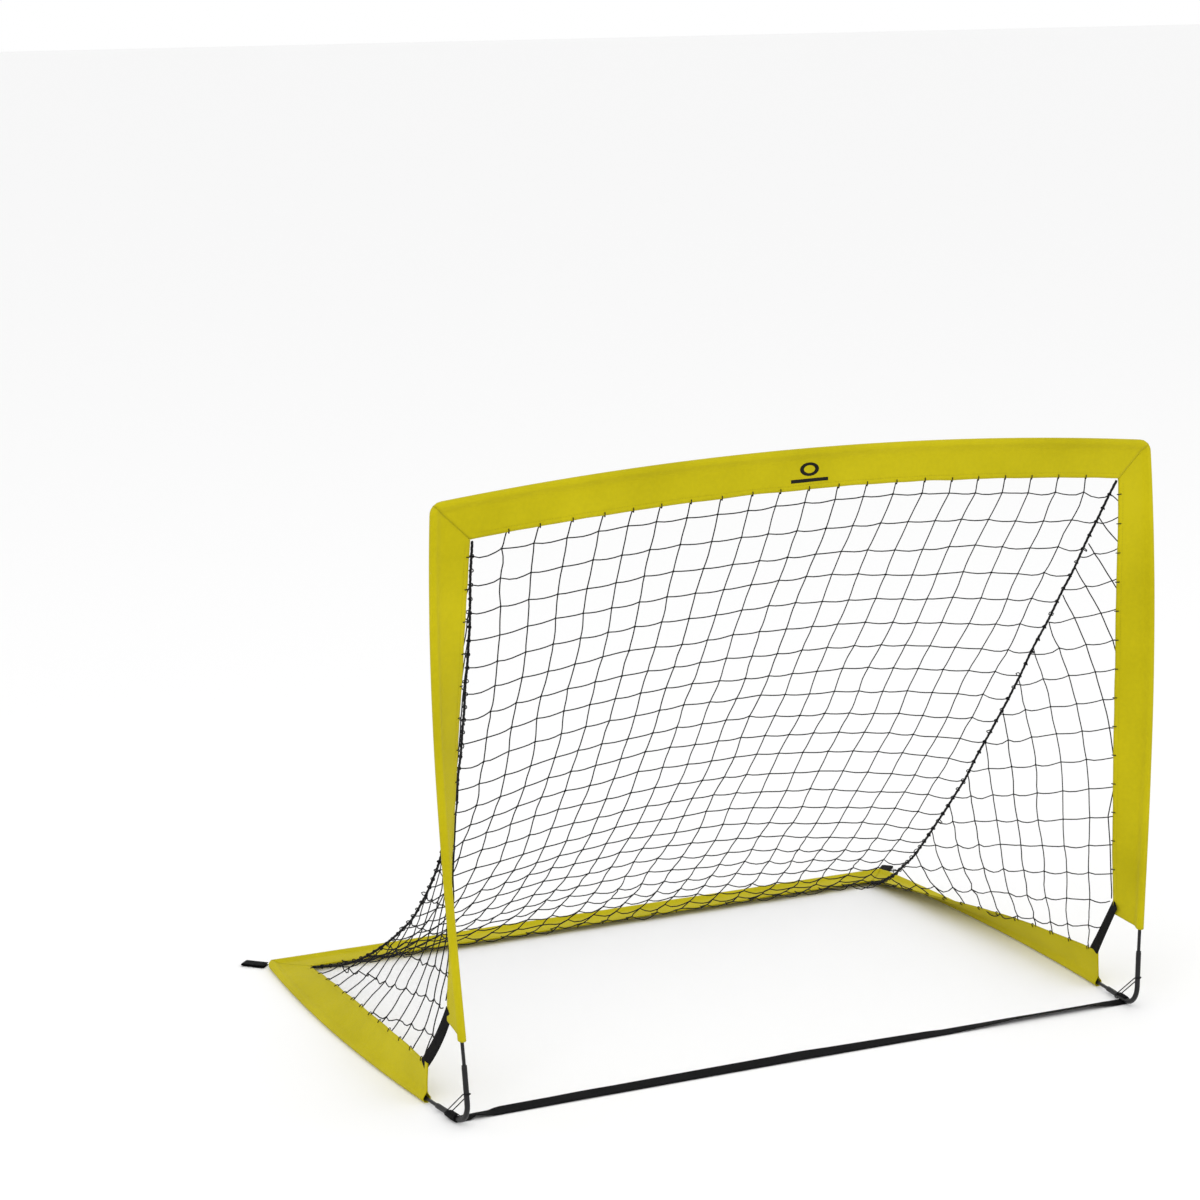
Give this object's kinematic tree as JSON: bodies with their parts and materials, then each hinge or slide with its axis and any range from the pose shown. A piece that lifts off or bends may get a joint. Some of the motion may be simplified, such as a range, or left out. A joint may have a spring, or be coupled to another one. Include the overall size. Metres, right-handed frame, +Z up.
{
  "type": "pop up goal",
  "caption": "Free-standing pop-up football goal: a sprung rod frame in fabric sleeves with a sagging knotted net, whose mouth folds back flat over its floor rails.",
  "frame": {"origin": "on the floor, under the middle of the whole goal", "axes": "+X across the mouth to the right as seen from in front, +Y from the mouth to the rear rail, +Z up"},
  "size_m": [1.2368, 0.8639, 0.9333],
  "materials": {
    "sleeve_fabric": "yellow-green woven polyester, slight sheen",
    "rod_coating": "black coated spring rod, satin",
    "elbow_paint": "black painted bent tube, satin",
    "black_webbing": "black woven webbing, matte",
    "net_cord": "black knotted nylon cord, matte"
  },
  "bodies": {
    "floor_frame": {"left_side_sleeve": "sleeve_fabric", "right_side_sleeve": "sleeve_fabric", "rear_sleeve": "sleeve_fabric", "left_post_rod_foot": "rod_coating", "right_post_rod_foot": "rod_coating", "left_side_rod": "rod_coating", "right_side_rod": "rod_coating", "rear_rod": "rod_coating", "left_front_elbow": "elbow_paint", "right_front_elbow": "elbow_paint", "left_rear_elbow": "elbow_paint", "right_rear_elbow": "elbow_paint", "left_corner_strap": "black_webbing", "right_corner_strap": "black_webbing", "ground_strap": "black_webbing", "left_strap_wrap": "black_webbing", "right_strap_wrap": "black_webbing", "left_elbow_tie": "net_cord", "right_elbow_tie": "net_cord", "left_seam_rope": "net_cord", "right_seam_rope": "net_cord", "back_net": "net_cord", "left_side_net": "net_cord", "right_side_net": "net_cord"},
    "mouth_frame": {"crossbar_rod": "rod_coating", "left_post_rod": "rod_coating", "right_post_rod": "rod_coating", "left_top_elbow": "elbow_paint", "right_top_elbow": "elbow_paint", "crossbar_sleeve": "sleeve_fabric", "left_post_sleeve": "sleeve_fabric", "right_post_sleeve": "sleeve_fabric"},
    "left_peg_loop": {"left_peg_loop": "black_webbing"},
    "right_peg_loop": {"right_peg_loop": "black_webbing"}
  },
  "joints": [
    {"name": "mouth_fold", "type": "hinge", "parent": "floor_frame", "child": "mouth_frame", "pos_m": [0, -0.4204, 0.09725], "axis": [-1, 0, 0], "range_deg": [0, 87], "stiffness_Nm_per_rad": 2, "springref_deg": -11.46, "deforming": ["left_corner_strap", "right_corner_strap", "left_seam_rope", "right_seam_rope", "back_net", "left_side_net", "right_side_net", "left_side_sleeve", "right_side_sleeve"]},
    {"name": "left_peg_loop_flap", "type": "hinge", "parent": "floor_frame", "child": "left_peg_loop", "pos_m": [-0.58251, 0.39616, 0.0049], "axis": [0.7071, 0.7071, 0], "range_deg": [0, 90]},
    {"name": "right_peg_loop_flap", "type": "hinge", "parent": "floor_frame", "child": "right_peg_loop", "pos_m": [0.58251, 0.39616, 0.0049], "axis": [0.7071, -0.7071, 0], "range_deg": [0, 90]}
  ]
}
